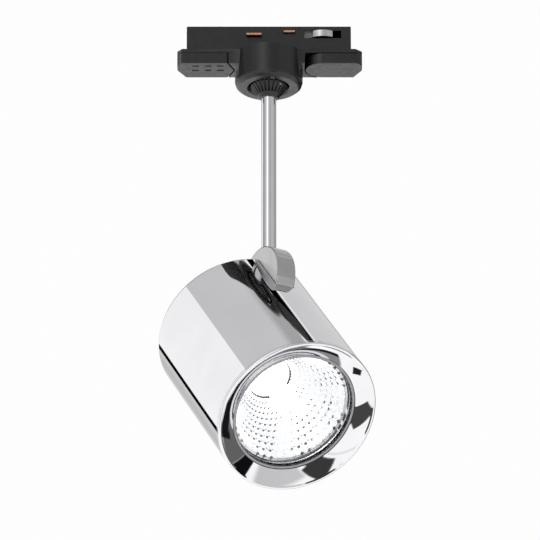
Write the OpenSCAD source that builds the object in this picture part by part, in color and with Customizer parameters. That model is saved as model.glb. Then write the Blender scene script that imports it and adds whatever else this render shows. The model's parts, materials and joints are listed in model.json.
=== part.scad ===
// Track spotlight: an adapter that locks into a lighting track, a swivelling
// stem, a tilting cylinder head and a twist-lock front ring.
// Millimetres, +Z up. The origin is on the swivel axis, in the plane of the
// track's underside. The track runs along X, and the front of the adapter is -Y.

/* [Rest pose] */
// Turn of the head about the stem, away from the front
pan_rest = 31; // [0:1:60]
// Slope of the beam below horizontal
tilt_rest = 48; // [5:1:85]

/* [Adapter] */
// Reach of the terminal cover from the swivel axis
cover_reach = 49; // [48:0.5:52]
// Reach of the lock lever from the swivel axis
lever_reach = 49.9; // [48:0.1:52]
// Half of the depth of the adapter under the track
half_depth = 9.25; // [9:0.05:9.5]
// Thickness of the flange that lies on the track
flange_t = 2.2; // [2:0.1:2.4]
// Level of the underside of the cover and the lever
wing_bottom = 8.45; // [8:0.05:10]
// Half of the width of the block in the track's slot
block_half_w = 7.6; // [7.5:0.1:8]
// Half of the length of the block in the track's slot
block_half_l = 44; // [44:0.5:46]
// Height of the block above the track's underside
block_h = 14; // [14:0.5:16]

/* [Swivel hub] */
// Outer radius of the hub
hub_r = 18.15; // [18.1:0.05:18.3]
// Depth of the hub below the track's underside
hub_h = 19; // [18.5:0.5:20]
// Radius of the opening in the hub's lower face
hub_mouth_r = 10.4; // [10.3:0.1:10.8]
// Radius of the serrated swivel nut
nut_r = 9.9; // [9.5:0.1:9.9]
// Grooves around the swivel nut
nut_grooves = 24; // [12:2:30]

/* [Stem] */
// Outer radius of the stem tube
tube_r = 4; // [3.9:0.05:4]
// Bore radius of the stem tube
tube_bore_r = 3; // [2.6:0.1:3.2]
// Depth of the tilt pivot below the track's underside
pivot_depth = 131.8; // [90:0.1:300]
// Radius of the knuckle disc
knuckle_r = 18.4; // [18.2:0.1:18.6]
// Thickness of the knuckle disc
knuckle_t = 11; // [10.8:0.1:11.1]

/* [Head] */
// Outer radius of the housing
housing_r = 43.3; // [43:0.1:44]
// Length of the head from back rim to front rim
head_l = 95; // [94:0.5:96]
// Wall of the housing
housing_wall = 2; // [1.8:0.1:2]
// Distance of the tilt pivot from the head's axis
pivot_off = 36; // [35.8:0.1:36.1]
// Distance of the tilt pivot in front of the back rim
pivot_in = 11.8; // [11.5:0.1:12.5]

/* [Lamp] */
// Radius of the reflector lamp
lamp_r = 31.75; // [30:0.25:31.75]
// Radius of the lit opening in front of the glass
light_r = 31.9; // [31:0.1:32.5]
// Spacing of the lamp's two pins
pin_pitch = 10; // [9:0.5:10]

/* [Hidden] */
$fn = 72;

eps = 0.5;              // overshoot of a cut past the face it leaves
slip = 0.3;             // gap between curved faces that move past each other
run = 0.05;             // radial clearance of a shaft in its bearing

// Colours
satin_black = [0.13, 0.13, 0.14];
dark_grey = [0.25, 0.25, 0.27];
chrome = [0.82, 0.82, 0.85];
steel = [0.62, 0.62, 0.65];
copper = [0.8, 0.5, 0.3];
bronze = [0.7, 0.55, 0.3];
ceramic = [0.93, 0.92, 0.88];
clear = [0.85, 0.92, 0.95, 0.5];

// Ends of the adapter, as outlines seen from above
corner_x = 46.5;                        // front corners
cover_corner_x = 44.5;                  // back corner at the cover's end
lever_corner_x = 45.6;                  // back corner at the lever's end
end_y = [-5.8, 0.8];                    // straight stretch of each end
lever_nose = [48.4, -8.2];              // full front corner of the lever
lever_end = [[corner_x, -half_depth], [lever_reach, end_y[0]], [lever_reach, end_y[1]],
    [lever_corner_x, half_depth]];
cover_end = [[-cover_corner_x, half_depth], [-cover_reach, end_y[1]], [-cover_reach, end_y[0]],
    [-corner_x, -half_depth]];
notch_x = 22.2;                         // corners of the cover's pointed end
tip_x = 18.5;                           // tip of the cover's pointed end
shoulder_x = 19.3;                      // start of the shoulder beside the lever
cover_gap = 0.5;                    // gap between the cover and its shoulder

// Adapter levels and places
wing_gap = 0.25;                        // slip of the lever under the flange
seat_recess = 0.8;                      // depth the block is let into the flange
block_wall = 1.4;
block_roof = 1.6;
block_room = 38.9;                      // half length of the hollow in the block
room_half_w = block_half_w - block_wall;
room_top = block_h - block_roof;
block_screw_x = 41.5;
lever_x = 28.9;                         // lock lever's axis
lever_r = half_depth - 0.05;            // round end of the lever
lever_shaft_r = 3;
lever_shaft_z = -wing_bottom + 1.5;     // lower end of the lever's shaft
clip_z = [0.3, 1.1];
cam_z = [7.6, 11.2];
cam_reach = 9.5;
cam_half_w = 5.2;
selector_x = -26;
selector_r = 4.6;
selector_room = 10.5;                   // room for the turning contact, along the block
phase_z = [5, 6];
phase_half_w = 2.5;
phase_reach = 10;
neutral_x = [-12, -4];
neutral_z = [8, 9];
neutral_reach = 10;
earth_x = [8, 14];
earth_z = [10, 11];
earth_reach = 9;
contact_root = 3.8;                     // inner end of a fixed contact
carrier_z = 6.2;
carrier_half_l = 18;
window_gap = 0.4;
block_screw_r = 1.25;
block_screw_z = block_h - 1.4;          // seat of a block screw's head
block_screw_head = [2.4, 1.3];          // radius and height
terminal_x = [8, 18];
terminal_half_w = 5.4;
terminal_rows = [-3.4, 0, 3.4];
terminal_hole_z = 2.6;
terminal_screw_x = 15.6;

// Grip bars under the terminal cover
grip_start = [-41, -5.2];
grip_pitch = [6.6, 5.4];
grip_size = [3.6, 0.9, 0.3];

// Swivel levels, downwards from the track's underside
deck_z = -7.5;                          // underside of the deck that holds the bush
bush_flange_z = deck_z - 1;
flange_top_z = bush_flange_z - 0.5;     // top of the spindle's flange
flange_bot_z = flange_top_z - 2;
lip_t = 2;                              // lip around the hub's opening
mouth_chamfer = 1.2;
// Steps of the hub's lower edge: in from the side, and up from the lower face
hub_edge = [[2.3, 0], [0.7, 1.3], [0, 3.2]];
hub_screw_at = [1.9, -13.1, 0];
hub_screw_r = 1.1;
cavity_r = hub_r - 2.75;
sleeve_r = 6;
sleeve_z = flange_bot_z - 9.5;
journal_r = 4.2;
wire_bore_r = 2.9;
bush_r = 8;
bush_flange_r = 9.5;
spindle_flange_r = 9;
spindle_top_z = 3.2;
lock_nut_z = [-0.5, 2.7];
lock_nut_r = 5.8;                       // to the corners of the hexagon
cone_z = -hub_h + 0.2;                  // where the nut's cone starts
cone_tip_z = cone_z - 6.5;
cone_tip_r = 4.8;
cone_slope = atan2(nut_r - cone_tip_r, cone_z - cone_tip_z);
set_screw_z = -18.6;
set_screw_turn = -75;                   // place of the set screw round the nut
set_screw_r = 1.4;
stop_r = 11.5;                          // inner reach of the swivel's stop lug
stop_half_w = 0.9;
stop_low_z = -16.5;
stop_pin_reach = [6.5, 13.5];           // from the swivel axis

// Knuckle and head levels; z along the head is 0 at the back rim and runs
// negative towards the front
half_t = knuckle_t / 2;
knuckle_gap = 0.35;
socket_z = 8.5;                         // floor of the tube's socket, from the pivot
bolt_r = 2;
cheek_x = half_t + 0.55;                // inner face of a bracket cheek
cheek_t = 1.5;
cheek_out = cheek_x + cheek_t;          // outer face of a bracket cheek
spring_x = cheek_out + 0.6;
pivot_hex_r = 4;                        // corners of the bolt's head and of the nut
pivot_nut_t = 3;
pivot_head_t = 2.8;
spring_r = 4.2;
friction_r = 4.5;
bracket_foot = [19, -33, -14];          // reach in X, then front and back in Y
bracket_screw_places = [for (x = [-14, 14], y = [-29, -18]) [x, y, 0]];
small_screw_head = [2.7, 1.6];          // radius and height
stop_ring_r = 12;                       // radius at which the tilt stop runs
stop_pin_r = 1.4;
stop_groove_r = stop_pin_r + knuckle_gap;
stop_floor_x = 3.1;
housing_bore = housing_r - housing_wall;
cover_z = [-4, -1];
cover_screw_ring = housing_bore - 2.7;
cover_screw_angles = [90, 210, 330];
boss_r = 3.2;
boss_end_z = -16;
bezel_back = -85;
seam_z = -head_l + 2.15;                // joint between housing and bezel
skirt_r = housing_bore - slip;
lug_z = [-89.5, -87.5];
lug_t = 1;
lug_angle = 3;                          // half of a lug's width, in degrees
twist = 20;                             // turn that frees the front ring
gasket_z = -head_l + 5.4;
glass_z = gasket_z + 1;
glass_t = 2.5;
seat_r = 36.2;
cone_r = [33.7, 41.9];                  // front ring's cone, at the glass and at the lip
retainer_t = 0.9;
lamp_front = -84.2;
lens_t = 1.8;
bowl_back = -46;
base_z = -36;                           // end face of the lamp's base
strap_z = [-18, -16.5];
strap_reach = 31;
strap_half_w = 7;
strap_hole = [0, -2, 0];                // where the lamp's leads pass the strap
strap_screw_x = 27;
holder_screw_x = 8;
holder_r = 12.5;
pin_r = [1.5, 2.4];                     // lamp pin's shank and head
capsule_r = 5.5;
capsule_z = -66;                        // centre of the burner's round tip
screw_r = 1.5;

// Reflector bowl: its depth runs forward from the focus side, and its radius
// follows a parabola
bowl_depth = 36.4;
bowl_wall = 1.6;
bowl_steps = 10;
neck_depth = 5.6;
bowl_line = [for (i = [0 : bowl_steps]) neck_depth + (bowl_depth - neck_depth) * i / bowl_steps];
function bowl_r(depth) = (lamp_r - bowl_wall) * sqrt(depth / bowl_depth);

// Point at t on a cubic curve with four control points
function on_curve(p, t) =
    pow(1 - t, 3) * p[0] + 3 * t * pow(1 - t, 2) * p[1] + 3 * t * t * (1 - t) * p[2] + pow(t, 3) * p[3];

// Cable from the swivel down the tube and round the pivot inside the knuckle,
// in the stem frame at the pivot
cable_r = 1.6;
cable_bend = [[0, 0, 12], [0, 0, 4], [0, 10.5, 9.5], [0, 10.8, 0]];
cable_tail = [[0, 10.8, 0], [0, 10.5, -6], [0, 8.5, -11], [0, 6.2, -16.5]];
cable_route = concat(
    [[0, 0, pivot_depth + 3], [0, 0, 60], [0, 0, 20]],
    [for (i = [0 : 6]) on_curve(cable_bend, i / 6)],
    [for (i = [1 : 5]) on_curve(cable_tail, i / 5)]);

// Lamp leads from beside the knuckle to the back of the lampholder, in the
// head frame
lead_curve = [[0, -17.2, -21.6], [0, -16.5, -12.5], [0, -2, -6], [0, -2, -17.5]];
lead_r = 1.1;

// ---- helpers ----

// Box between two corners
module slab(low, high) translate(low) cube(high - low);

// Cylinder between two heights
module rod(r, z0, z1) translate([0, 0, z0]) cylinder(r = r, h = z1 - z0);

// Ring between two heights
module ring(r_out, r_in, z0, z1)
    rotate_extrude() translate([r_in, z0]) square([r_out - r_in, z1 - z0]);

// Flat outline made solid between two heights
module plate(z0, z1) translate([0, 0, z0]) linear_extrude(z1 - z0) children();

// Cylinder along X between two places
module cross_rod(r, x0, x1) translate([x0, 0, 0]) rotate([0, 90, 0]) cylinder(r = r, h = x1 - x0);

// Pan-head screw pointing down: head, of a radius and a height, above z, and shank below it
module screw(z, shank_r, length, head) {
    rod(head[0], z, z + head[1]);
    rod(shank_r, z - length, z);
}

// Slot with round ends along X
module round_slot(length, width) {
    square([length - width, width], center = true);
    for (side = [-1, 1]) translate([side * (length - width) / 2, 0]) circle(width / 2);
}

// Pie slice of the plane, from one angle to another
module wedge(a0, a1, r)
    polygon(concat([[0, 0]], [for (i = [0 : 6]) let (a = a0 + (a1 - a0) * i / 6) r * [cos(a), sin(a)]]));

// Round lead swept along points that lie in a plane square to X
module lead(points, r) {
    sides = 10;
    last = len(points) - 1;
    function heading(i) = let (d = points[min(i + 1, last)] - points[max(i - 1, 0)]) d / norm(d);
    rings = [for (i = [0 : last]) let (up = cross(heading(i), [1, 0, 0]))
        for (k = [0 : sides - 1]) let (a = 360 * k / sides)
            points[i] + r * (cos(a) * [1, 0, 0] + sin(a) * up)];
    walls = [for (i = [0 : last - 1], k = [0 : sides - 1]) let (n = (k + 1) % sides)
        [i * sides + k, (i + 1) * sides + k, (i + 1) * sides + n, i * sides + n]];
    start = [for (k = [0 : sides - 1]) k];
    finish = [for (k = [sides - 1 : -1 : 0]) last * sides + k];
    polyhedron(concat(rings), concat(walls, [start], [finish]));
}

// ---- frames ----

// Stem frame at the pivot: X is the tilt axis, -Y is where the head faces
module at_pivot() translate([0, 0, -pivot_depth]) rotate([0, 0, pan_rest]) children();

// Head frame: Z runs backwards along the head's axis from the back rim
module in_head()
    at_pivot() rotate([tilt_rest - 90, 0, 0]) translate([0, pivot_off, pivot_in]) children();

// Tilt pivot seen from the head frame
module at_head_pivot() translate([0, -pivot_off, -pivot_in]) children();

// Room that the knuckle needs in the head
module knuckle_room() at_head_pivot() cross_rod(knuckle_r + knuckle_gap, -half_t - slip, half_t + slip);

// ---- adapter ----

module flange_outline() polygon(concat(lever_end, cover_end));

// Shoulders that carry the hub's sides out to the cover and the lever
module shoulder_outline() difference() {
    polygon([[cover_gap - notch_x, -half_depth], [cover_gap - tip_x, 0],
        [cover_gap - notch_x, half_depth], [lever_x, half_depth], [lever_x, 0],
        [shoulder_x, 0], [shoulder_x, -half_depth]]);
    translate([lever_x, 0]) circle(lever_r + knuckle_gap);
}

module adapter_base() color(satin_black) {
    difference() {
        union() {
            plate(-flange_t, 0) flange_outline();
            plate(-wing_bottom, -flange_t) shoulder_outline();
            rotate_extrude() polygon(concat([[0, 0], [0, -hub_h]],
                [for (edge = hub_edge) [hub_r - edge[0], -hub_h + edge[1]]], [[hub_r, 0]]));
        }
        slab([-block_half_l, -block_half_w, -seat_recess], [block_half_l, block_half_w, eps]);
        rod(cavity_r, -hub_h + lip_t, deck_z);
        rotate_extrude() polygon([[0, -hub_h - eps], [hub_mouth_r + mouth_chamfer + eps, -hub_h - eps],
            [hub_mouth_r, -hub_h + mouth_chamfer], [hub_mouth_r, -hub_h + lip_t + eps],
            [0, -hub_h + lip_t + eps]]);
        rod(bush_r, deck_z - eps, eps);
        translate([lever_x, 0, 0]) rod(lever_shaft_r + run, -flange_t - eps, eps);
        translate([block_screw_x, 0, 0]) rod(block_screw_r, -flange_t + slip, eps);
        translate([-block_screw_x, 0, 0]) rod(block_screw_r, -flange_t - eps, eps);
        translate(hub_screw_at) rod(hub_screw_r, -hub_h - eps, -hub_h + lip_t + eps);
    }
    intersection() {
        slab([-stop_half_w, -cavity_r - eps, stop_low_z], [stop_half_w, -stop_r, deck_z]);
        rod(cavity_r, -hub_h, 0);
    }
}

// Opening through the sides of the block that sides names, for what lies between two levels
module window(x, sides, z)
    slab([x[0] - window_gap, sides[0] * (block_half_w + eps), z[0] - window_gap],
        [x[1] + window_gap, sides[1] * (block_half_w + eps), z[1] + window_gap]);

module adapter_top() color(satin_black) difference() {
    slab([-block_half_l, -block_half_w, -seat_recess], [block_half_l, block_half_w, block_h]);
    slab([-block_room, -room_half_w, -seat_recess - eps], [block_room, room_half_w, room_top]);
    // Windows for the locking cam, the turning contact and the fixed contacts
    window([lever_x - cam_reach, lever_x + cam_reach], [-1, 1], cam_z);
    window([selector_x - selector_room, selector_x + selector_room], [0, 1], phase_z);
    window(neutral_x, [-1, 0], neutral_z);
    window(earth_x, [-1, 1], earth_z);
    translate([selector_x, 0, 0]) rod(selector_r + run, room_top - eps, block_h + eps);
    for (side = [-1, 1]) translate([side * block_screw_x, 0, 0]) {
        rod(block_screw_r + run, -seat_recess - eps, block_h);
        rod(block_screw_head[0] + run, block_screw_z, block_h + eps);
    }
}

module terminal_cover() color(satin_black) {
    difference() {
        plate(-wing_bottom, -flange_t) polygon(concat(cover_end,
            [[-notch_x, -half_depth], [-tip_x, 0], [-notch_x, half_depth]]));
        translate([-block_screw_x, 0, 0]) rod(block_screw_r, -6.6, 0);
    }
    for (row = [0, 1], col = [0 : 2])
        translate([grip_start[0] + grip_pitch[0] * col, grip_start[1] + grip_pitch[1] * row,
            -wing_bottom - grip_size[2]]) cube(grip_size);
}

module contact_carrier() color(dark_grey) difference() {
    slab([-carrier_half_l, -room_half_w + 0.1, carrier_z],
        [carrier_half_l, room_half_w - 0.1, room_top - 0.1]);
    rod(wire_bore_r + 0.7, carrier_z - eps, room_top);
    neutral_strip(block_half_w);
    earth_strips(block_half_w);
}

// Contact strips that reach out to a distance from the middle of the block
module neutral_strip(reach)
    slab([neutral_x[0], -reach, neutral_z[0]], [neutral_x[1], -contact_root, neutral_z[1]]);

module earth_strips(reach) for (side = [0, 1]) mirror([0, side, 0])
    slab([earth_x[0], contact_root, earth_z[0]], [earth_x[1], reach, earth_z[1]]);

module neutral_contact() color(copper) neutral_strip(neutral_reach);

module earth_contacts() color(copper) earth_strips(earth_reach);

module terminal_block() color(ceramic) difference() {
    slab([terminal_x[0], -terminal_half_w, -seat_recess + 0.1],
        [terminal_x[1], terminal_half_w, carrier_z - 0.3]);
    for (y = terminal_rows) {
        translate([0, y, terminal_hole_z]) cross_rod(1.1, terminal_x[0] - eps, terminal_screw_x - 0.6);
        translate([terminal_screw_x, y, 0]) rod(1.2, terminal_hole_z + 0.8, carrier_z);
    }
}

module adapter_screws() color(steel) {
    translate([block_screw_x, 0, 0]) screw(block_screw_z, block_screw_r, block_h + 0.4, block_screw_head);
    translate([-block_screw_x, 0, 0]) screw(block_screw_z, block_screw_r, block_h + 5, block_screw_head);
}

module hub_screw() color(steel) translate(hub_screw_at) difference() {
    rod(hub_screw_r, -hub_h, -hub_h + lip_t);
    slab([-0.8, -0.15, -hub_h - eps], [0.8, 0.15, -hub_h + 0.4]);
}

module swivel_bush() color(bronze) {
    ring(bush_r, journal_r + run, deck_z, -seat_recess);
    ring(bush_flange_r, journal_r + run, bush_flange_z, deck_z);
}

// ---- lock lever ----

module lock_lever() color(satin_black) difference() {
    plate(-wing_bottom, -flange_t - wing_gap) {
        translate([lever_x, 0]) circle(lever_r);
        polygon([[lever_x, -lever_r], [corner_x - 0.5, -lever_r], lever_nose, lever_end[1], lever_end[2],
            [lever_corner_x, lever_r], [lever_x, lever_r]]);
    }
    translate([lever_x, 0, 0]) rod(lever_shaft_r, lever_shaft_z, 0);
}

module lever_shaft() color(steel) translate([lever_x, 0, 0])
    rod(lever_shaft_r, lever_shaft_z, room_top - window_gap);

module locking_cam() color(steel) translate([lever_x, 0, 0]) difference() {
    intersection() {
        rod(cam_reach, cam_z[0], cam_z[1]);
        slab([-cam_half_w, -cam_reach, cam_z[0]], [cam_half_w, cam_reach, cam_z[1]]);
    }
    rod(lever_shaft_r, 0, block_h);
}

module lever_clip() color(steel) translate([lever_x, 0, 0])
    ring(lever_shaft_r + 2, lever_shaft_r, clip_z[0], clip_z[1]);

// ---- circuit selector ----

module circuit_selector() color(dark_grey) translate([selector_x, 0, 0]) difference() {
    union() {
        rod(selector_r, -0.5, block_h + 1.4);
        rod(selector_r + 1, room_top - 2, room_top - 0.2);
    }
    // Slot for a screwdriver
    slab([-3, -0.5, block_h + 0.2], [3, 0.5, block_h + 2]);
    phase_strip(selector_r + 2);
}

// Contact strip of the selector, to a distance from the selector's axis
module phase_strip(reach) slab([-phase_half_w, -1, phase_z[0]], [phase_half_w, reach, phase_z[1]]);

module phase_contact() color(copper) translate([selector_x, 0, 0]) phase_strip(phase_reach);

// ---- swivel and stem ----

module swivel_spindle() color(steel) rotate([0, 0, pan_rest]) difference() {
    union() {
        rod(sleeve_r, sleeve_z, flange_bot_z);
        rod(spindle_flange_r, flange_bot_z, flange_top_z);
        rod(journal_r, flange_top_z, spindle_top_z);
    }
    rod(tube_r, sleeve_z - eps, flange_bot_z - 0.5);
    rod(wire_bore_r, sleeve_z, spindle_top_z + eps);
    stop_pin_line() rod(stop_half_w, stop_pin_reach[0], spindle_flange_r + 1);
}

// Frame of the swivel's stop pin: Z runs out along the pin, in the spindle's flange
module stop_pin_line()
    translate([0, 0, (flange_top_z + flange_bot_z) / 2]) rotate([-90, 0, 0]) children();

module swivel_nut() color(satin_black) rotate([0, 0, pan_rest]) difference() {
    rotate_extrude() polygon([[sleeve_r, flange_bot_z], [nut_r, flange_bot_z], [nut_r, cone_z],
        [cone_tip_r, cone_tip_z], [tube_r, cone_tip_z],
        [tube_r, sleeve_z - 0.1], [sleeve_r, sleeve_z - 0.1]]);
    for (i = [0 : nut_grooves - 1]) rotate([0, 0, 360 * i / nut_grooves])
        translate([nut_r + 0.25, 0, cone_z + 0.6]) rotate([0, 180 + cone_slope, 0])
            cylinder(r = 0.5, h = 2 * (cone_z - cone_tip_z), center = true);
    set_screw_line() rod(set_screw_r, sleeve_r - eps, nut_r + 1);
}

// Frame of the set screw: Z runs out along it, from the swivel axis
module set_screw_line()
    translate([0, 0, set_screw_z]) rotate([0, 90, set_screw_turn]) children();

module stem_set_screw() color(steel) rotate([0, 0, pan_rest]) set_screw_line() difference() {
    rod(set_screw_r, sleeve_r, nut_r - 0.3);
    translate([0, 0, nut_r - 1.5]) cylinder(r = 0.75, h = 3, $fn = 6);
}

module swivel_washer() color(steel) rotate([0, 0, pan_rest])
    ring(spindle_flange_r, journal_r + run, flange_top_z, bush_flange_z - run);

module swivel_lock_nut() color(steel) rotate([0, 0, pan_rest]) difference() {
    translate([0, 0, lock_nut_z[0]]) cylinder(r = lock_nut_r, h = lock_nut_z[1] - lock_nut_z[0], $fn = 6);
    rod(journal_r, lock_nut_z[0] - eps, lock_nut_z[1] + eps);
}

module swivel_stop_pin() color(steel) rotate([0, 0, pan_rest]) stop_pin_line()
    rod(stop_half_w, stop_pin_reach[0], stop_pin_reach[1]);

module stem_tube() color(chrome) rotate([0, 0, pan_rest])
    ring(tube_r, tube_bore_r, -pivot_depth + socket_z, flange_bot_z - 0.5);

module stem_cable() color(ceramic) at_pivot() lead(cable_route, cable_r);

module knuckle_disc() color(chrome) at_pivot() difference() {
    rotate([0, 90, 0]) rotate_extrude() polygon([[bolt_r + run, -half_t], [knuckle_r - 0.4, -half_t],
        [knuckle_r, -half_t + 0.4], [knuckle_r, half_t - 0.4], [knuckle_r - 0.4, half_t],
        [bolt_r + run, half_t]]);
    // Socket for the tube
    rod(tube_r, socket_z, knuckle_r + eps);
    rod(wire_bore_r, socket_z - 2.5, socket_z + eps);
    // Hollow for the cable, open at the lower rim
    intersection() {
        difference() {
            cross_rod(16, -2.5, 2.5);
            cross_rod(5.6, -3, 3);
        }
        slab([-3, 0, -17], [3, 17, 9]);
    }
    rotate([20, 0, 0]) slab([-2.5, -3.2, -knuckle_r - 1], [2.5, 3.2, -12]);
    // Groove for the tilt stop
    intersection() {
        difference() {
            cross_rod(stop_ring_r + stop_groove_r, stop_floor_x, half_t + eps);
            cross_rod(stop_ring_r - stop_groove_r, stop_floor_x - eps, half_t + 2 * eps);
        }
        slab([0, 0, -20], [8, 20, 0]);
    }
    for (place = [[0, stop_ring_r, 0], [0, 0, -stop_ring_r]])
        translate(place) cross_rod(stop_groove_r, stop_floor_x, half_t + eps);
}

// ---- tilt joint inside the head ----

module pivot_bracket() color(steel) in_head() difference() {
    union() {
        for (side = [0, 1]) mirror([side, 0, 0]) {
            slab([cheek_x, -40.3, -22], [cheek_out, -13, cover_z[0]]);
            slab([cheek_out, bracket_foot[1], cover_z[0] - 2],
                [bracket_foot[0], bracket_foot[2], cover_z[0]]);
        }
        // Web that joins the cheeks
        slab([-cheek_x, -15, -11], [cheek_x, -13, cover_z[0]]);
    }
    at_head_pivot() cross_rod(bolt_r + run, -cheek_out - eps, cheek_out + eps);
    translate([0, stop_ring_r, 0]) at_head_pivot() cross_rod(stop_pin_r, 0, cheek_out + eps);
    for (place = bracket_screw_places) translate(place) rod(screw_r + 0.1, -10, 0);
}

module bracket_screws() color(steel) in_head() for (place = bracket_screw_places)
    translate(place + [0, 0, cover_z[0] - 2]) mirror([0, 0, 1]) screw(0, screw_r, 4, small_screw_head);

module pivot_bolt() color(steel) in_head() at_head_pivot() {
    cross_rod(bolt_r, -cheek_out, spring_x + pivot_nut_t + 0.3);
    translate([-cheek_out, 0, 0]) rotate([0, -90, 0]) cylinder(r = pivot_hex_r, h = pivot_head_t, $fn = 6);
}

module pivot_nut() color(steel) in_head() at_head_pivot() difference() {
    translate([spring_x, 0, 0]) rotate([0, 90, 0]) cylinder(r = pivot_hex_r, h = pivot_nut_t, $fn = 6);
    cross_rod(bolt_r, spring_x - eps, spring_x + pivot_nut_t + eps);
}

module pivot_spring_washers() color(steel) in_head() at_head_pivot()
    rotate([0, 90, 0]) ring(spring_r, bolt_r, cheek_out, spring_x);

module friction_discs() color(bronze) in_head() at_head_pivot() for (side = [0, 1]) mirror([side, 0, 0])
    rotate([0, 90, 0]) ring(friction_r, bolt_r, half_t + run, cheek_x);

module tilt_stop_pin() color(steel) in_head() translate([0, stop_ring_r, 0]) at_head_pivot()
    cross_rod(stop_pin_r, stop_floor_x + 0.2, cheek_out);

// ---- housing ----

module housing() color(chrome) in_head() {
    difference() {
        union() {
            rotate_extrude() polygon([[housing_bore, seam_z], [housing_r, seam_z], [housing_r, -0.5],
                [housing_r - 0.5, 0], [housing_bore, 0]]);
            intersection() {
                rod(housing_r - 0.5, boss_end_z, cover_z[0]);
                for (a = cover_screw_angles) rotate([0, 0, a]) translate([cover_screw_ring, 0, 0])
                    rod(boss_r, boss_end_z, cover_z[0]);
            }
            // Lugs that hold the front ring
            for (a = cover_screw_angles) rotate([0, 0, a]) intersection() {
                ring(housing_r - 0.5, housing_bore - lug_t, lug_z[0], lug_z[1]);
                plate(lug_z[0], lug_z[1]) wedge(-lug_angle, lug_angle, 60);
            }
        }
        knuckle_room();
        for (a = cover_screw_angles) rotate([0, 0, a]) translate([cover_screw_ring, 0, 0])
            rod(screw_r, -13, cover_z[0] + eps);
    }
}

module back_cover() color(dark_grey) in_head() difference() {
    union() {
        rod(housing_bore - 0.1, cover_z[0], cover_z[1]);
        for (x = [-strap_screw_x, strap_screw_x]) translate([x, 0, 0]) rod(3.5, strap_z[1], cover_z[0]);
    }
    knuckle_room();
    for (a = cover_screw_angles) rotate([0, 0, a]) translate([cover_screw_ring, 0, 0])
        rod(screw_r + 0.1, cover_z[0] - eps, eps);
    for (place = bracket_screw_places) translate(place) rod(screw_r, cover_z[0] - eps, -1.8);
    for (x = [-strap_screw_x, strap_screw_x]) translate([x, 0, 0]) rod(screw_r, strap_z[1] - eps, -7);
    // Vents
    for (i = [0 : 2]) translate([0, 12 + 7 * i, 0])
        plate(cover_z[0] - eps, 0) round_slot(40 - 6 * i, 3);
}

module cover_screws() color(steel) in_head() for (a = cover_screw_angles)
    rotate([0, 0, a]) translate([cover_screw_ring, 0, 0]) difference() {
        screw(cover_z[1], screw_r, 11, [2.6, 1]);
        slab([-2, -0.35, -0.5], [2, 0.35, 1]);
    }

// ---- lamp and holder ----

module lampholder_strap() color(steel) in_head() difference() {
    slab([-strap_reach, -strap_half_w, strap_z[0]], [strap_reach, strap_half_w, strap_z[1]]);
    translate(strap_hole) rod(4.4, -20, 0);
    for (x = [-strap_screw_x, -holder_screw_x, holder_screw_x, strap_screw_x])
        translate([x, 0, 0]) rod(screw_r + 0.1, -20, 0);
}

module strap_screws() color(steel) in_head() for (x = [-strap_screw_x, strap_screw_x])
    translate([x, 0, strap_z[0]]) mirror([0, 0, 1]) screw(0, screw_r, 9, small_screw_head);

module holder_screws() color(steel) in_head() for (x = [-holder_screw_x, holder_screw_x])
    translate([x, 0, 0]) screw(strap_z[1], screw_r, 5.5, small_screw_head);

module lampholder() color(ceramic) in_head() difference() {
    rod(holder_r, base_z + 0.1, strap_z[0]);
    for (x = [-pin_pitch / 2, pin_pitch / 2]) translate([x, 0, 0])
        rod(pin_r[1] + 0.2, base_z - eps, base_z + 8);
    for (x = [-holder_screw_x, holder_screw_x]) translate([x, 0, 0]) rod(screw_r, -22.5, 0);
}

module lamp_leads() color(ceramic) in_head() for (x = [-1.5, 1.5])
    translate([x, 0, 0]) lead([for (i = [0 : 10]) on_curve(lead_curve, i / 10)], lead_r);

module lamp_base() color(ceramic) in_head() {
    rod(11.5, bowl_back - 4, bowl_back + 2);
    rod(10.8, bowl_back + 2, base_z);
    for (x = [-pin_pitch / 2, pin_pitch / 2]) translate([x, 0, 0]) {
        rod(pin_r[0], base_z, base_z + 5.5);
        rod(pin_r[1], base_z + 5.5, base_z + 7.5);
    }
}

module lamp_reflector() color([0.95, 0.95, 0.97]) in_head()
    translate([0, 0, lamp_front + lens_t + bowl_depth]) rotate_extrude() polygon(concat(
        [for (d = bowl_line) [bowl_r(d), -d]],
        [for (i = [bowl_steps : -1 : 0]) [bowl_r(bowl_line[i]) + bowl_wall, -bowl_line[i]]]));

module lamp_capsule() color(clear) in_head() {
    rod(capsule_r, capsule_z, bowl_back - 4);
    translate([0, 0, capsule_z]) sphere(capsule_r);
}

module lamp_lens() color(clear) in_head() rod(lamp_r - 0.4, lamp_front, lamp_front + lens_t);

// ---- front ring ----

module bezel() color(chrome) in_head() difference() {
    rotate_extrude() polygon([[skirt_r, seam_z + 0.01], [skirt_r, bezel_back], [seat_r, bezel_back],
        [seat_r, gasket_z], [cone_r[0], gasket_z], [cone_r[0], gasket_z - 0.6], [cone_r[1], -head_l],
        [housing_r - 0.9, -head_l], [housing_r - 0.2, -head_l + 0.35], [housing_r, -head_l + 1],
        [housing_r, seam_z - 0.2], [skirt_r, seam_z - 0.2]]);
    // L-shaped grooves for the housing's lugs
    for (a = cover_screw_angles) rotate([0, 0, a]) intersection() {
        ring(housing_r, housing_bore - lug_t - slip, lug_z[0] - 0.4, lug_z[1] + 0.4);
        plate(lug_z[0] - 1, lug_z[1] + 1) wedge(-lug_angle - 1 - twist, lug_angle + 1, 60);
    }
    for (a = cover_screw_angles) rotate([0, 0, a]) intersection() {
        ring(housing_r, housing_bore - lug_t - slip, lug_z[0] - 0.4, bezel_back + eps);
        plate(lug_z[0] - 1, bezel_back + 1) wedge(-lug_angle - 1 - twist, -twist + lug_angle + 1, 60);
    }
}

module glass_gasket() color(dark_grey) in_head() ring(seat_r, light_r, gasket_z, glass_z);

module front_glass() color(clear) in_head() rod(seat_r - 0.2, glass_z, glass_z + glass_t);

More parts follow.
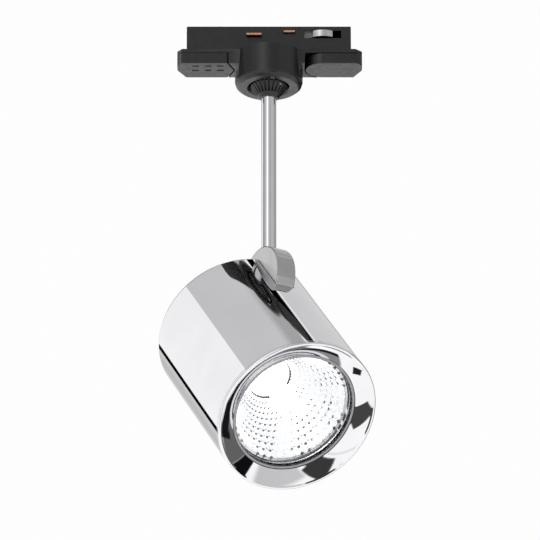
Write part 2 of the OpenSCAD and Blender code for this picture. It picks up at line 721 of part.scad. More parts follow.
module glass_retainer() color(steel) in_head()
    ring(seat_r, light_r - 0.1, glass_z + glass_t, glass_z + glass_t + retainer_t);

adapter_base();
adapter_top();
terminal_cover();
contact_carrier();
neutral_contact();
earth_contacts();
terminal_block();
adapter_screws();
hub_screw();
swivel_bush();
lock_lever();
lever_shaft();
locking_cam();
lever_clip();
circuit_selector();
phase_contact();
swivel_spindle();
swivel_nut();
stem_set_screw();
swivel_washer();
swivel_lock_nut();
swivel_stop_pin();
stem_tube();
stem_cable();
knuckle_disc();
pivot_bracket();
bracket_screws();
pivot_bolt();
pivot_nut();
pivot_spring_washers();
friction_discs();
tilt_stop_pin();
housing();
back_cover();
cover_screws();
lampholder_strap();
strap_screws();
holder_screws();
lampholder();
lamp_leads();
lamp_base();
lamp_reflector();
lamp_capsule();
lamp_lens();
bezel();
glass_gasket();
front_glass();
glass_retainer();
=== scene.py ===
import json
import math

import bmesh
import bpy
import numpy as np
from mathutils import Matrix, Vector

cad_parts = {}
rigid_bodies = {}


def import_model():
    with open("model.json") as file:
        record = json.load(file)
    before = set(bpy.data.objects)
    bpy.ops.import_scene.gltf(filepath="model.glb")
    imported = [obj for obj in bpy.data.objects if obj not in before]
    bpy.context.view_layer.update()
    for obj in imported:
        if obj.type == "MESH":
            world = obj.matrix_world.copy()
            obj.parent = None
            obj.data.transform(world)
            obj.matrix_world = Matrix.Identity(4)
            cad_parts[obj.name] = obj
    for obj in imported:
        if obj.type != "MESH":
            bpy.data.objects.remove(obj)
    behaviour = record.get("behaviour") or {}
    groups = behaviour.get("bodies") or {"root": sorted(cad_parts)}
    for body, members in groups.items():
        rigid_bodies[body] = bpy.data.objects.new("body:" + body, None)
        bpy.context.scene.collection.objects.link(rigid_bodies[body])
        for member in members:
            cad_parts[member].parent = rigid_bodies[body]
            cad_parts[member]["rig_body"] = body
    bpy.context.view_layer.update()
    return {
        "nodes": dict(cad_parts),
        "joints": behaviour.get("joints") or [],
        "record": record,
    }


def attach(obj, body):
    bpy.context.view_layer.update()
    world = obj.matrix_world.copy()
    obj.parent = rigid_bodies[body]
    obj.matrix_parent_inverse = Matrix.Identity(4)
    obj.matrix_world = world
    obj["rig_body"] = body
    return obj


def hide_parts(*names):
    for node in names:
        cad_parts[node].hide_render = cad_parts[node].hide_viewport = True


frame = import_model()

# Looks of the track spotlight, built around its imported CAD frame. Metres, in the CAD
# frame: +Z up, the origin on the swivel axis in the plane of the track's underside.

MM = 0.001
SEGMENTS = 256          # faces round a polished solid of revolution
ROUND_STEP = math.radians(12)
SHARP = math.radians(38)
WELD = 0.002 * MM

scene = bpy.context.scene
cad_nodes = frame["nodes"]
joints = {joint["name"]: joint for joint in frame["joints"]}
slot_of = {part["node"]: part["material_slot"] for part in frame["record"]["subparts"]}


# ---- places ----

def place_on(z_axis, x_axis, origin):
    """Frame with its Z along z_axis, its X as near x_axis as it can be, at origin."""
    z = Vector(z_axis).normalized()
    x = Vector(x_axis)
    x = (x - z * x.dot(z)).normalized()
    turn = Matrix((x, z.cross(x), z)).transposed().to_4x4()
    return Matrix.Translation(Vector(origin)) @ turn


UP = Vector((0, 0, 1))
tilt_axis = Vector(joints["tilt"]["axis"])
beam = Vector(joints["ring_twist"]["axis"])
# Head: Z runs backwards from the back rim, X is the tilt axis
HEAD = place_on(-beam, tilt_axis, joints["ring_twist"]["pos_m"])
# Swivel: Z up, X is the tilt axis
SWIVEL = place_on(UP, tilt_axis, joints["pan"]["pos_m"])
KNUCKLE = place_on(tilt_axis, UP, joints["tilt"]["pos_m"])


# ---- measuring the CAD frame ----

def corners_of(node, place):
    """Corners of a CAD node as rows of x, y, z in a place's own frame."""
    back = np.array(place.inverted())
    corners = np.array([v.co for v in cad_nodes[node].data.vertices])
    return corners @ back[:3, :3].T + back[:3, 3]


def span(node, place, axis=2):
    """Lowest and highest coordinate of a CAD node along one axis of a place."""
    values = corners_of(node, place)[:, axis]
    return float(values.min()), float(values.max())


def radii(node, place, low=-1.0, high=1.0):
    """Least and greatest distance from a place's Z axis, of the corners between two levels."""
    corners = corners_of(node, place)
    corners = corners[(corners[:, 2] > low) & (corners[:, 2] < high)]
    away = np.hypot(corners[:, 0], corners[:, 1])
    return float(away.min()), float(away.max())


# ---- mesh helpers ----

def rounded(corners, closed=True):
    """Line through corners (a, b, radius), each with a round of its own radius."""
    line = []
    for i, (a, b, radius) in enumerate(corners):
        here = Vector((a, b))
        if radius == 0 or (not closed and i in (0, len(corners) - 1)):
            line.append(here)
            continue
        to_last = (Vector(corners[i - 1][:2]) - here).normalized()
        to_next = (Vector(corners[(i + 1) % len(corners)][:2]) - here).normalized()
        half = to_last.angle(to_next) / 2
        centre = here + (to_last + to_next).normalized() * (radius / math.sin(half))
        start = here + to_last * (radius / math.tan(half)) - centre
        end = here + to_next * (radius / math.tan(half)) - centre
        first = math.atan2(start.y, start.x)
        turn = (math.atan2(end.y, end.x) - first + math.pi) % math.tau - math.pi
        steps = max(2, math.ceil(abs(turn) / ROUND_STEP))
        for k in range(steps + 1):
            angle = first + turn * k / steps
            line.append(centre + radius * Vector((math.cos(angle), math.sin(angle))))
    return line


def bridge(bm, lower, upper):
    """Faces between two rings of the same number of corners."""
    for k in range(len(lower)):
        n = (k + 1) % len(lower)
        corners = list(dict.fromkeys((lower[k], lower[n], upper[n], upper[k])))
        if len(corners) > 2:
            bm.faces.new(corners)


def ring_of(bm, place, radius, z, segments):
    """Ring of corners about a place's Z axis, or one corner on the axis."""
    if radius < WELD:
        return [bm.verts.new(place @ Vector((0, 0, z)))] * segments
    angles = [math.tau * k / segments for k in range(segments)]
    spots = [Vector((radius * math.cos(a), radius * math.sin(a), z)) for a in angles]
    return [bm.verts.new(place @ spot) for spot in spots]


def lathe(line, place, segments=SEGMENTS):
    """Closed line of (radius, z) turned about a place's Z axis."""
    bm = bmesh.new()
    rings = [ring_of(bm, place, radius, z, segments) for radius, z in line]
    for lower, upper in zip(rings, rings[1:] + rings[:1]):
        bridge(bm, lower, upper)
    return bm


def add_piece(name, bm, body, slot, stands_for=(), sharp=SHARP, surface=None):
    """Makes a piece of a mesh, with its material, and lets it ride on its body."""
    bmesh.ops.recalc_face_normals(bm, faces=bm.faces)
    mesh = bpy.data.meshes.new(name)
    bm.to_mesh(mesh)
    bm.free()
    mesh.shade_smooth()
    mesh.set_sharp_from_angle(angle=sharp)
    mesh.materials.append(materials[surface or slot])
    piece = bpy.data.objects.new(name, mesh)
    scene.collection.objects.link(piece)
    weighted = piece.modifiers.new("weighted_normals", "WEIGHTED_NORMAL")
    weighted.keep_sharp = True
    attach(piece, body)
    if stands_for:
        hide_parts(*stands_for)
    return piece


def refined(node, edge, fine=None, fine_edge=0.08):
    """Stands for a CAD node with the same shape and rounded outer edges, in mm. Edges for which
    fine(middle) holds get fine_edge."""
    bm = bmesh.new()
    bm.from_mesh(cad_nodes[node].data)
    bmesh.ops.remove_doubles(bm, verts=bm.verts, dist=WELD)
    bmesh.ops.dissolve_limit(bm, angle_limit=math.radians(0.4), verts=bm.verts, edges=bm.edges)
    bmesh.ops.recalc_face_normals(bm, faces=bm.faces)
    outer = [e for e in bm.edges if e.is_manifold and e.is_convex and e.calc_face_angle(0) > SHARP]
    small = [e for e in outer if fine and fine((e.verts[0].co + e.verts[1].co) / 2)]
    for edges, width in ((small, fine_edge), ([e for e in outer if e not in set(small)], edge)):
        edges = [e for e in edges if e.is_valid]
        if edges:
            bmesh.ops.bevel(bm, geom=edges, offset=width * MM, segments=3, profile=0.5, affect="EDGES",
                            clamp_overlap=False)
    bmesh.ops.remove_doubles(bm, verts=bm.verts, dist=WELD)
    return add_piece(node + "_fine", bm, cad_nodes[node]["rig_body"], slot_of[node], [node],
                     surface=surface_of[node])


# ---- materials ----

class Nodes:
    """A node tree that is built by short calls."""

    def __init__(self, tree, clear=True):
        self.tree = tree
        if clear:
            tree.nodes.clear()

    def add(self, kind, inputs=None, **settings):
        node = self.tree.nodes.new(kind)
        for key, value in settings.items():
            setattr(node, key, value)
        for key, value in (inputs or {}).items():
            if isinstance(value, bpy.types.NodeSocket):
                self.tree.links.new(value, node.inputs[key])
            else:
                node.inputs[key].default_value = value
        return node

    def math(self, operation, a, b=0.0):
        return self.add("ShaderNodeMath", {0: a, 1: b}, operation=operation).outputs[0]

    def step(self, value, low, high, to_low=0.0, to_high=1.0):
        """Smooth rise from to_low to to_high as value goes from low to high."""
        node = self.add("ShaderNodeMapRange", {"Value": value, "From Min": low, "From Max": high,
                        "To Min": to_low, "To Max": to_high}, interpolation_type="SMOOTHSTEP")
        return node.outputs["Result"]

    def blend(self, share, a, b):
        """Number a where share is 0 and b where it is 1."""
        return self.add("ShaderNodeMix", {0: share, 2: a, 3: b}, data_type="FLOAT").outputs[0]


def noise(nodes, where, size, detail=2.0, stretch=(1, 1, 1), seed=0.0):
    """Noise with features of a size in mm, stretched along the object's axes."""
    spread = nodes.add("ShaderNodeMapping", {"Vector": where, "Location": (seed, seed, seed),
                                             "Scale": stretch})
    return nodes.add("ShaderNodeTexNoise", {"Vector": spread.outputs[0], "Scale": 1 / (size * MM),
                     "Detail": detail}).outputs["Fac"]


def finish(name, colour, metallic, roughness, mottle=0.04, mottle_size=8.0, grain=None, waves=None,
           scratches=0.0, **shader):
    """Procedural surface. The colour varies by the share mottle, and roughness is (low, high), both
    over patches of mottle_size mm. grain and waves are (size, height) in mm of the surface's fine
    texture and of its slow unevenness, and scratches is the depth of fine hairlines in mm."""
    material = bpy.data.materials.new(name)
    material.use_nodes = True
    nodes = Nodes(material.node_tree)
    where = nodes.add("ShaderNodeTexCoord").outputs["Object"]
    patches = noise(nodes, where, mottle_size, detail=4.0)
    smudges = noise(nodes, where, mottle_size * 0.6, detail=5.0, seed=3.0)
    shades = nodes.add("ShaderNodeMix", {0: nodes.step(patches, 0.3, 0.7)}, data_type="RGBA")
    shades.inputs[6].default_value = [c * (1 - mottle) for c in colour] + [1]
    shades.inputs[7].default_value = [min(1.0, c * (1 + mottle)) for c in colour] + [1]
    surface = nodes.add("ShaderNodeBsdfPrincipled", {
        "Base Color": shades.outputs[2], "Metallic": metallic,
        "Roughness": nodes.step(smudges, 0.3, 0.75, *roughness)})
    for key, value in shader.items():
        surface.inputs[key.replace("_", " ")].default_value = value
    layers = [layer for layer in (grain, waves) if layer]
    heights = [(noise(nodes, where, size, seed=5.0), height) for size, height in layers]
    if scratches:
        hairlines = noise(nodes, where, 0.5, detail=1.0, stretch=(1, 12, 0.15), seed=7.0)
        heights.append((nodes.step(hairlines, 0.62, 0.7), scratches))
    normal = None
    for pattern, height in heights:
        bump = nodes.add("ShaderNodeBump", {"Height": pattern, "Distance": height * MM, "Strength": 1.0})
        if normal:
            nodes.tree.links.new(normal, bump.inputs["Normal"])
        normal = bump.outputs[0]
    if normal:
        nodes.tree.links.new(normal, surface.inputs["Normal"])
    nodes.add("ShaderNodeOutputMaterial", {"Surface": surface.outputs[0]})
    return material


# Painted shade: the reflector darkens, and its painted glow fades, near the corners between its facets, by
# this attribute
CORNER_SHADE_ATTRIBUTE = "facet_corner"       # how near a point of the reflector is to a corner between four facets
# Strength of the reflector's painted glow: an emission that makes it look lit by the burner, though it is
# no lamp
REFLECTOR_PAINTED_GLOW = 0.34
# Colour of the painted shade at the facets' corners
PAINTED_SHADE_COLOUR = (0.03, 0.03, 0.035, 1)


def paint_facet_glow_and_shade(material):
    """Paints the reflector's glow, an emission standing in for the burner's light in the mirror, and paints
    shade at the corners between its facets, here more and there less: there the glow fades and the colour
    darkens.
    """
    nodes = Nodes(material.node_tree, clear=False)
    surface = material.node_tree.nodes["Principled BSDF"]
    where = nodes.add("ShaderNodeTexCoord").outputs["Object"]
    corner = nodes.add("ShaderNodeAttribute", attribute_name=CORNER_SHADE_ATTRIBUTE).outputs["Fac"]
    depth = nodes.step(noise(nodes, where, 13, detail=1.0, seed=11.0), 0.40, 0.56, 0.1, 1.0)
    # Painted shade: towards the facets' corners the painted glow fades and the colour darkens
    seam = nodes.math("MULTIPLY", nodes.step(corner, 0.14, 0.42), depth)
    nodes.tree.links.new(nodes.blend(seam, REFLECTOR_PAINTED_GLOW, 0.0), surface.inputs["Emission Strength"])
    plain = surface.inputs["Base Color"].links[0].from_socket
    shade = nodes.add("ShaderNodeMix", {0: seam, 6: plain, 7: PAINTED_SHADE_COLOUR}, data_type="RGBA")
    nodes.tree.links.new(shade.outputs[2], surface.inputs["Base Color"])


materials = {
    "head_chrome": finish("head_chrome", (0.77, 0.77, 0.79), 1.0, (0.015, 0.05), 0.02, 22,
                          waves=(30, 0.004), scratches=0.0002),
    "ring_chrome": finish("ring_chrome", (0.77, 0.77, 0.79), 1.0, (0.015, 0.05), 0.02, 18,
                          waves=(24, 0.002), scratches=0.0002),
    "knuckle_chrome": finish("knuckle_chrome", (0.47, 0.47, 0.475), 1.0, (0.12, 0.2), 0.03, 9,
                             waves=(12, 0.003), scratches=0.0005),
    "stem_chrome": finish("stem_chrome", (0.76, 0.76, 0.78), 1.0, (0.04, 0.09), 0.02, 14,
                          scratches=0.0004),
    "black_moulding": finish("black_moulding", (0.010, 0.010, 0.011), 0.0, (0.26, 0.38), 0.15, 5,
                             grain=(0.25, 0.004), waves=(7, 0.01)),
    "grey_moulding": finish("grey_moulding", (0.20, 0.20, 0.21), 0.0, (0.34, 0.46), 0.08, 5,
                            grain=(0.3, 0.006)),
    "contact_copper": finish("contact_copper", (0.75, 0.42, 0.24), 1.0, (0.18, 0.34), 0.12, 3,
                             grain=(0.2, 0.002), scratches=0.001),
    "ceramic_white": finish("ceramic_white", (0.82, 0.81, 0.76), 0.0, (0.55, 0.75), 0.05, 4,
                            grain=(0.3, 0.01)),
    "plated_steel": finish("plated_steel", (0.60, 0.61, 0.63), 1.0, (0.22, 0.38), 0.08, 2.5,
                           grain=(0.15, 0.0015), scratches=0.001),
    "bronze_bush": finish("bronze_bush", (0.60, 0.42, 0.20), 1.0, (0.38, 0.55), 0.12, 1.5,
                          grain=(0.2, 0.006)),
    "friction_fibre": finish("friction_fibre", (0.26, 0.17, 0.10), 0.0, (0.7, 0.9), 0.2, 1,
                             grain=(0.25, 0.02)),
    "cover_black": finish("cover_black", (0.02, 0.02, 0.022), 0.0, (0.3, 0.5), 0.15, 6,
                          grain=(0.35, 0.008)),
    "cable_jacket": finish("cable_jacket", (0.83, 0.82, 0.78), 0.0, (0.45, 0.6), 0.04, 4,
                           grain=(0.5, 0.006)),
    "gasket_grey": finish("gasket_grey", (0.06, 0.06, 0.065), 0.0, (0.4, 0.6), 0.12, 3,
                          grain=(0.25, 0.008)),
    # The reflector's emission colour is for its painted glow, whose strength is linked in below
    "reflector_mirror": finish("reflector_mirror", (0.92, 0.92, 0.94), 1.0, (0.02, 0.06), 0.02, 3,
                               Emission_Color=(1, 0.995, 0.985, 1)),
    "quartz": finish("quartz", (1.0, 0.99, 0.97), 0.0, (0.05, 0.12), 0.01, 3,
                     Emission_Color=(1, 0.985, 0.96, 1), Emission_Strength=4.0),
    "lamp_glass": finish("lamp_glass", (0.98, 0.99, 1.0), 0.0, (0.0, 0.01), 0.005, 12,
                         Transmission_Weight=1.0, IOR=1.47),
    "front_glass": finish("front_glass", (0.98, 0.99, 1.0), 0.0, (0.0, 0.01), 0.005, 16,
                          Transmission_Weight=1.0, IOR=1.5),
    "gasket_face": finish("gasket_face", (0.36, 0.36, 0.38), 0.6, (0.3, 0.45), 0.06, 3,
                          grain=(0.3, 0.003)),
    # Painted glow: the lamp's foot emits, standing in for the burner's light through it
    "lamp_foot_painted_glow": finish("lamp_foot_painted_glow", (0.86, 0.86, 0.84), 0.0, (0.5, 0.7), 0.03, 4, grain=(0.3, 0.01),
                        Emission_Color=(1, 0.99, 0.97, 1), Emission_Strength=0.5),
}
# The reflector gets its painted glow, and painted shade at its facets' corners
paint_facet_glow_and_shade(materials["reflector_mirror"])
# The knuckle has the head's plating over a duller ground finish. The lamp's foot has a painted glow:
# it emits, standing in for the burner's light shining through it
surface_of = dict(slot_of, knuckle_disc="knuckle_chrome", lamp_base="lamp_foot_painted_glow")


# ---- head ----

SEAM_ROUND = 0.12 * MM      # at the joint between housing and front ring
RIM_ROUND = 1.4 * MM
RIM_INNER_ROUND = 0.4 * MM


def housing_wall():
    """Bore and outer radius of the housing, and where along the head it starts and ends."""
    seam, rim = span("housing", HEAD)
    return *radii("housing", HEAD, seam - WELD, seam + WELD), seam, rim


def housing_line():
    """Wall of the housing, from the seam with the front ring to the rounded back rim."""
    bore, outer, seam, rim = housing_wall()
    return rounded([(bore, seam, 0), (outer, seam, SEAM_ROUND), (outer, rim, RIM_ROUND),
                    (bore, rim, RIM_INNER_ROUND)])


def cut(piece, cutter):
    """Takes the cutter's shape away from a piece, for good."""
    tool = bpy.data.objects.new("cutter", bpy.data.meshes.new("cutter"))
    bmesh.ops.recalc_face_normals(cutter, faces=cutter.faces)
    cutter.to_mesh(tool.data)
    cutter.free()
    scene.collection.objects.link(tool)
    away = piece.modifiers.new("cut", "BOOLEAN")
    away.operation = "DIFFERENCE"
    away.solver = "EXACT"
    away.object = tool
    dg = bpy.context.evaluated_depsgraph_get()
    mesh = bpy.data.meshes.new_from_object(piece.evaluated_get(dg))
    piece.modifiers.remove(away)
    piece.data = mesh
    bpy.data.objects.remove(tool)


SLOT_ROUND_GAP = 0.35 * MM  # between the knuckle's rim and the end of its slot
SLOT_SIDE_GAP = 0.3 * MM


def housing():
    """Chromed cylinder with the slot that the knuckle sinks into."""
    piece = add_piece("housing_shell", lathe(housing_line(), HEAD), "head", "head_chrome", ["housing"])
    slot_r = radii("knuckle_disc", KNUCKLE)[1] + SLOT_ROUND_GAP
    half = span("knuckle_disc", KNUCKLE)[1] + SLOT_SIDE_GAP
    slot_cutter = lathe([(0, -half), (slot_r, -half), (slot_r, half), (0, half)], KNUCKLE, 144)
    piece.modifiers.clear()     # the exact normals below replace the weighted ones
    cut(piece, slot_cutter)
    set_round_normals(piece, HEAD, *housing_wall()[:2])


ON_WALL = 10 * WELD         # how near a corner is to a round wall that it belongs to
LEVEL_FACE = 0.02           # how little a wall's face may lean along the axis
SQUARE_FACE = 0.98          # and how squarely it faces the axis


def set_round_normals(piece, place, *true_radii):
    """Exact normals on the round walls of a piece, so that its reflections stay straight."""
    mesh = piece.data
    mesh.shade_smooth()
    mesh.set_sharp_from_angle(angle=SHARP)
    back = place.inverted()
    turn = place.to_3x3()
    normals = [corner.vector.copy() for corner in mesh.corner_normals]
    for face in mesh.polygons:
        facing = back.to_3x3() @ face.normal
        for corner in face.loop_indices:
            spot = back @ mesh.vertices[mesh.loops[corner].vertex_index].co
            away = Vector((spot.x, spot.y, 0))
            on_wall = min(abs(away.length - r) for r in true_radii) < ON_WALL
            out = facing.dot(away.normalized())
            if on_wall and abs(facing.z) < LEVEL_FACE and abs(out) > SQUARE_FACE:
                normals[corner] = turn @ (away.normalized() * math.copysign(1, out))
    mesh.normals_split_custom_set(normals)


BOSS_ANGLES = (90, 210, 330)
BOSS_R = 3.2 * MM
BOSS_HOLE_R = 1.5 * MM
BOSS_INSET = 2.7 * MM       # from the housing's bore to a boss's middle
BOSS_LOW = -16 * MM
COVER_ROOM = 3 * MM         # from the back cover's outer face to the bosses


def housing_inside():
    """Three screw bosses of the housing, which the shell's outline leaves out."""
    bore = housing_wall()[0]
    top = span("back_cover", HEAD)[1] - COVER_ROOM
    line = rounded([(BOSS_HOLE_R, BOSS_LOW, 0), (BOSS_R, BOSS_LOW, 0.6 * MM), (BOSS_R, top, 0),
                    (BOSS_HOLE_R, top, 0.2 * MM)])
    for k, angle in enumerate(BOSS_ANGLES):
        turn = HEAD @ Matrix.Rotation(math.radians(angle), 4, "Z")
        spot = turn @ Matrix.Translation((bore - BOSS_INSET, 0, 0))
        add_piece(f"housing_boss_{k + 1}", lathe(line, spot, 48), "head", "head_chrome")


CONE_EDGE = 0.15 * MM       # round at the cone's inner edge
CONE_CROWN = 0.17 * MM      # how far the cone's middle stands above its edges
CONE_STEPS = 14
LIP_WIDTH = 2.1 * MM
LIP_ROUND = 0.55 * MM       # drop of the lip's crest back to the cone


def crowned(start, end, rise):
    """Shallow arc from start to end, whose middle stands out by rise."""
    along = end - start
    out = Vector((along.y, -along.x)).normalized() * rise
    shares = [k / CONE_STEPS for k in range(CONE_STEPS + 1)]
    return [start + along * t + out * 4 * t * (1 - t) for t in shares]


def front_ring():
    """Conical chromed ring with a rounded lip."""
    low, high = span("bezel", HEAD)
    outer = radii("bezel", HEAD)[1]
    seam = span("housing", HEAD)[0]
    skirt = radii("bezel", HEAD, high - WELD, high + WELD)[1]
    gasket = span("glass_gasket", HEAD)[0]
    seat = radii("glass_gasket", HEAD)[1]
    inner = radii("bezel", HEAD)[0]
    cone_start = Vector((inner + CONE_EDGE, gasket - 0.6 * MM))
    cone_end = Vector((outer - LIP_WIDTH, low + LIP_ROUND))
    line = rounded([
        (skirt, seam, 0), (skirt, high, 0.3 * MM), (seat, high, 0.3 * MM), (seat, gasket, 0),
        (inner, gasket, 0.08 * MM), (inner, gasket - 0.5 * MM, 0)])
    line += crowned(cone_start, cone_end, CONE_CROWN)
    line += rounded([(*cone_end, 0), (outer - LIP_WIDTH * 0.6, low, 0.7 * MM), (outer, low, 0.9 * MM),
                     (outer, seam - 0.2 * MM, 0.12 * MM), (skirt, seam - 0.2 * MM, 0)], closed=False)
    add_piece("front_ring_chrome", lathe(line, HEAD), "front_ring", "ring_chrome", ["bezel"])


FACE_MARGIN = 0.32 * MM     # dark rubber left on each side of the gasket's grey face
FACE_RISE = 0.15 * MM


def gasket_and_glass():
    """Dark ring round the light opening, the flat glass and its spring ring."""
    low, high = span("glass_gasket", HEAD)
    inner, outer = radii("glass_gasket", HEAD)
    add_piece("gasket_ring", lathe(rounded([(inner, low, 0.25 * MM), (outer, low, 0.1 * MM),
              (outer, high, 0.1 * MM), (inner, high, 0.1 * MM)]), HEAD, 192),
              "front_ring", "gasket_grey", ["glass_gasket"])
    cone = radii("bezel", HEAD)[0]
    near, far = inner + FACE_MARGIN, cone - FACE_MARGIN
    face = rounded([(near, low - FACE_RISE, 0.1 * MM), (far, low - FACE_RISE, 0.1 * MM),
                    (far, low + FACE_RISE, 0), (near, low + FACE_RISE, 0)])
    add_piece("gasket_face_ring", lathe(face, HEAD, 192), "front_ring", "gasket_grey",
              surface="gasket_face")
    low, high = span("front_glass", HEAD)
    edge = radii("front_glass", HEAD)[1]
    pane = rounded([(0, low, 0), (edge, low, 0.4 * MM), (edge, high, 0.4 * MM), (0, high, 0)], closed=False)
    add_piece("front_glass_pane", lathe(pane, HEAD, 192), "front_ring", "front_glass", ["front_glass"])


# ---- lamp ----

FACET_ROWS = 10
FACETS_ROUND = 44
FACET_CELLS = 6
FACET_BULGE = 0.16 * MM
WALL_STEPS = 12


def reflector():
    """Facetted bowl: pillowed mirrors in staggered rows on a parabola, in a plain outer wall."""
    low, high = span("lamp_reflector", HEAD)
    mouth = radii("lamp_reflector", HEAD, low - WELD, low + WELD)
    neck = radii("lamp_reflector", HEAD, high - WELD, high + WELD)
    focus = (mouth[0] ** 2 * high - neck[0] ** 2 * low) / (mouth[0] ** 2 - neck[0] ** 2)
    depth_per = (focus - low) / mouth[0] ** 2
    round_cells = FACETS_ROUND * FACET_CELLS

    def spot(radius, angle, rise):
        slope = 2 * depth_per * radius
        inward = Vector((-slope, -1)).normalized() * rise
        away = radius + inward.x
        depth = focus - depth_per * radius ** 2 + inward.y
        return HEAD @ Vector((away * math.cos(angle), away * math.sin(angle), depth))

    bm = bmesh.new()
    corner_shade = bm.verts.layers.float.new(CORNER_SHADE_ATTRIBUTE)
    rings = []
    for row in range(FACET_ROWS):
        for cell in range(FACET_CELLS + (row == FACET_ROWS - 1)):
            share = (row + cell / FACET_CELLS) / FACET_ROWS
            radius = neck[0] + (mouth[0] - neck[0]) * share
            up = cell / FACET_CELLS % 1
            ring = []
            for k in range(round_cells):
                across = ((k + row * FACET_CELLS // 2) / FACET_CELLS) % 1
                pillow = 16 * up * (1 - up) * across * (1 - across)
                corner = bm.verts.new(spot(radius, math.tau * k / round_cells, FACET_BULGE * pillow))
                # Share of painted shade at this corner, greatest where four facets meet
                corner[corner_shade] = (1 - 4 * up * (1 - up)) * (1 - 4 * across * (1 - across))
                ring.append(corner)
            rings.append(ring)
    wall = mouth[1] - mouth[0]
    for i in range(WALL_STEPS + 1):
        radius = mouth[0] + (neck[0] - mouth[0]) * i / WALL_STEPS
        z = focus - depth_per * radius ** 2
        rings.append(ring_of(bm, HEAD, radius + wall, z, round_cells))
    for lower, upper in zip(rings, rings[1:] + rings[:1]):
        bridge(bm, lower, upper)
    add_piece("reflector_bowl", bm, "head", "reflector_mirror", ["lamp_reflector"], math.radians(7))


def burner():
    """Frosted quartz burner with a domed tip and a narrower foot."""
    low, high = span("lamp_capsule", HEAD)
    outer = radii("lamp_capsule", HEAD)[1]
    line = rounded([(0, low, 0), (outer, low, outer * 0.9), (outer, high - 4 * MM, 1.5 * MM),
                    (outer * 0.72, high, 0.5 * MM), (0, high, 0)], closed=False)
    add_piece("burner_capsule", lathe(line, HEAD, 64), "head", "quartz", ["lamp_capsule"])


def lens():
    """Cover glass of the lamp."""
    low, high = span("lamp_lens", HEAD)
    edge = radii("lamp_lens", HEAD)[1]
    pane = rounded([(0, low, 0), (edge, low, 0.5 * MM), (edge, high, 0.4 * MM), (0, high, 0)], closed=False)
    add_piece("lamp_cover_glass", lathe(pane, HEAD, 160), "head", "lamp_glass", ["lamp_lens"])


# ---- stem ----

def stem():
    """Polished tube with a rounded upper and lower end."""
    low, high = span("stem_tube", SWIVEL)
    bore, outer = radii("stem_tube", SWIVEL)
    line = rounded([(bore, low, 0.1 * MM), (outer, low, 0.2 * MM), (outer, high, 0.2 * MM),
                    (bore, high, 0.1 * MM)])
    add_piece("stem_polished", lathe(line, SWIVEL, 96), "stem", "stem_chrome", ["stem_tube"])


# ---- camera, light and floor ----

CAMERA_LENS = 333.0         # long lens on a 36 mm sensor
CAMERA_DISTANCE = 2.6316
CAMERA_RISE = math.radians(23.1)    # the camera looks up at the object
CAMERA_TARGET = Vector((0.00063, 0, -0.1248))
FLOOR_REACH = 150           # so far that its edge is the horizon
FLOOR_Z = -3.6             # below a camera that looks straight up at the object


def camera():
    data = bpy.data.cameras.new("camera")
    data.sensor_width = 36
    data.lens = CAMERA_LENS
    data.clip_start = 0.1
    data.clip_end = 3 * FLOOR_REACH
    eye = bpy.data.objects.new("camera", data)
    looking = Vector((0, math.cos(CAMERA_RISE), math.sin(CAMERA_RISE)))
    eye.location = CAMERA_TARGET - looking * CAMERA_DISTANCE
    eye.rotation_mode = "QUATERNION"
    eye.rotation_quaternion = looking.to_track_quat("-Z", "Y")
    scene.collection.objects.link(eye)
    scene.camera = eye


# The studio is a dome of soft boxes and dark flags that stand still round the object. Each has its
# two ranges in degrees, the blur of its edges in degrees, and its level. Later ones lie over
# earlier ones.
# Round the room: bearing from +Y towards +X, then elevation. A leaning one gives its bearing at the
# horizon, and how far that shifts with each degree of elevation
ROOM_LEVEL = 0.58
ROOM_PANELS = [
    ((-180, 180), (-90, 0), 6, 1.2),        # pale sweep below
    ((-60, 20), (-46, -8), 16, 1.4),        # fill under the adapter
    ((-171, -147), (-8, 70), 5, 1.5),       # tall soft box beside the stand
    ((-150, -135), (2, 60), 10, 0.9), ((-112, -52), (2, 50), 14, 0.4), ((-45, 0), (2, 40), 8, 0.95),
    ((0, 40), (2, 40), 4, 0.45), ((40, 95), (2, 50), 10, 0.4), ((150, 170), (2, 50), 8, 0.48),
    ((-153, -113), (-77, -53), 2, 0.07),    # flags that the front ring shows
    ((151, 175), (-36, -14), 2, 0.05), ((108, 150), (-22, 0), 6, 0.7), ((59, 88), (-17, 0), 2, 0.15),
    ((88, 101), (-17, 0), 1, 0.006), ((22, 68), (-26, -9), 2, 0.01), ((14, 62), (-10, 0), 4, 0.16),
    ((47, 58), (-38, -24), 3, 0.16, 0.77), ((27, 42), (-52, -18), 3, 0.3, 0.77),
    ((41.5, 47), (-52, -23), 1, 0.015, 0.77), ((-24, -9), (-72, -64), 1, 0.02),
    ((4, 42), (-7, 18), 2, 0.02)]           # flag that the ring's lip shows
# Behind the head: bearing about the head's axis, then angle off the axis
BEHIND_PANELS = [
    ((20, 380), (0, 25), 3, 0.04),
    ((20, 92), (25, 44), 1, 0.95), ((50, 92), (25, 44), 40, 0.42), ((91, 99), (25, 44), 0.8, 0.0),
    ((99, 196), (25, 44), 0.8, 1.10), ((196, 284), (25, 60), 0.8, 0.68),
    ((268, 290), (25, 60), 14, 0.46),
    ((289.5, 292.5), (25, 60), 0.8, 1.1), ((293, 302.6), (25, 60), 1, 0.0),
    ((302.6, 372), (25, 46), 1, 0.72), ((303.4, 306), (25, 60), 0.8, 1.0)]
BEHIND_SEAM = 20.0          # bearing that the panels behind the head start from
BACKDROP = 0.985


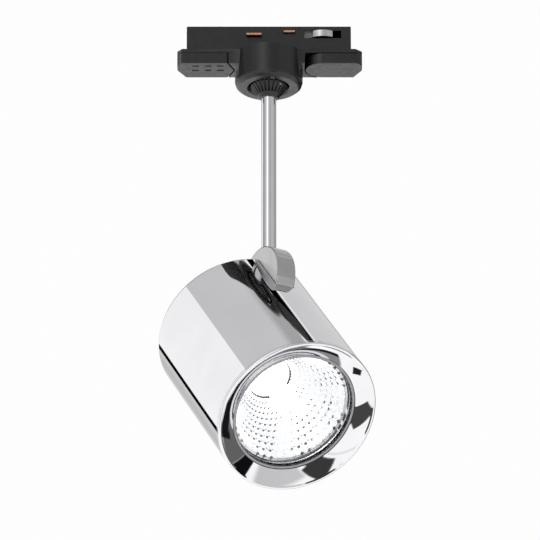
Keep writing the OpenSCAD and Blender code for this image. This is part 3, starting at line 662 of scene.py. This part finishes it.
def world():
    """Plain studio: the camera sees a pale backdrop, and the polished metal sees soft panels."""
    world_data = bpy.data.worlds.new("studio")
    world_data.use_nodes = True
    scene.world = world_data
    nodes = Nodes(world_data.node_tree)
    way = nodes.add("ShaderNodeTexCoord").outputs["Generated"]

    def along(axis):
        product = nodes.add("ShaderNodeVectorMath", {0: way, 1: axis}, operation="DOT_PRODUCT")
        return product.outputs["Value"]

    def degrees(value):
        return nodes.math("MULTIPLY", value, 180 / math.pi)

    def within(value, limits, blur):
        rise = nodes.step(value, limits[0] - blur / 2, limits[0] + blur / 2)
        fall = nodes.step(value, limits[1] - blur / 2, limits[1] + blur / 2, 1.0, 0.0)
        return nodes.math("MULTIPLY", rise, fall)

    def lay(level, panels, turn, rise):
        """Panels over a level, by two angles."""
        for turn_limits, rise_limits, blur, panel_level, *lean in panels:
            at_horizon = turn
            if lean:
                at_horizon = nodes.math("SUBTRACT", turn, nodes.math("MULTIPLY", rise, lean[0]))
            across = within(at_horizon, turn_limits, blur)
            share = nodes.math("MULTIPLY", across, within(rise, rise_limits, blur))
            level = nodes.blend(share, level, panel_level)
        return level

    x, y, z = [along(axis) for axis in ((1, 0, 0), (0, 1, 0), (0, 0, 1))]
    compass = degrees(nodes.math("ARCTAN2", x, y))
    level = lay(ROOM_LEVEL, ROOM_PANELS, compass, degrees(nodes.math("ARCSINE", z)))
    x, y, z = [along(HEAD.col[i].to_3d()) for i in range(3)]
    turn = degrees(nodes.math("ARCTAN2", y, x))
    full_turn = nodes.math("MULTIPLY", nodes.math("LESS_THAN", turn, BEHIND_SEAM), 360.0)
    about_head = nodes.math("ADD", turn, full_turn)
    level = lay(level, BEHIND_PANELS, about_head, degrees(nodes.math("ARCCOSINE", z)))
    seen = nodes.add("ShaderNodeLightPath").outputs["Is Camera Ray"]
    studio = nodes.add("ShaderNodeBackground", {"Strength": level})
    backdrop = nodes.add("ShaderNodeBackground", {"Strength": BACKDROP})
    mix = nodes.add("ShaderNodeMixShader", {0: seen, 1: studio.outputs[0], 2: backdrop.outputs[0]})
    for background in (studio, backdrop):
        background.inputs["Color"].default_value = (1, 1, 1, 1)
    nodes.add("ShaderNodeOutputWorld", {"Surface": mix.outputs[0]})


def floor():
    """Plain pale floor far below the object. The metal's reflections see the studio instead."""
    bm = bmesh.new()
    bmesh.ops.create_grid(bm, x_segments=8, y_segments=8, size=FLOOR_REACH)
    mesh = bpy.data.meshes.new("floor")
    bm.to_mesh(mesh)
    bm.free()
    ground = bpy.data.objects.new("floor", mesh)
    ground.location.z = FLOOR_Z
    ground.visible_glossy = False
    mesh.materials.append(finish("floor_paper", (0.95, 0.95, 0.95), 0.0, (0.8, 0.95), 0.01, 400,
                                 grain=(2.0, 0.05)))
    scene.collection.objects.link(ground)


# ---- building ----

camera()
world()
floor()
scene.view_settings.view_transform = "Standard"

for cad_name, cad_object in cad_nodes.items():
    cad_object.data.materials.clear()
    cad_object.data.materials.append(materials[surface_of[cad_name]])

housing()
housing_inside()
front_ring()
gasket_and_glass()
reflector()
burner()
lens()
stem()

cover_underside = span("lock_lever", SWIVEL)[0]
refined("adapter_base", 0.35)
refined("adapter_top", 0.3)
refined("terminal_cover", 0.45, fine=lambda middle: middle.z < cover_underside - WELD)
refined("lock_lever", 0.45)
refined("knuckle_disc", 0.3)
refined("swivel_nut", 0.12)
refined("back_cover", 0.3)
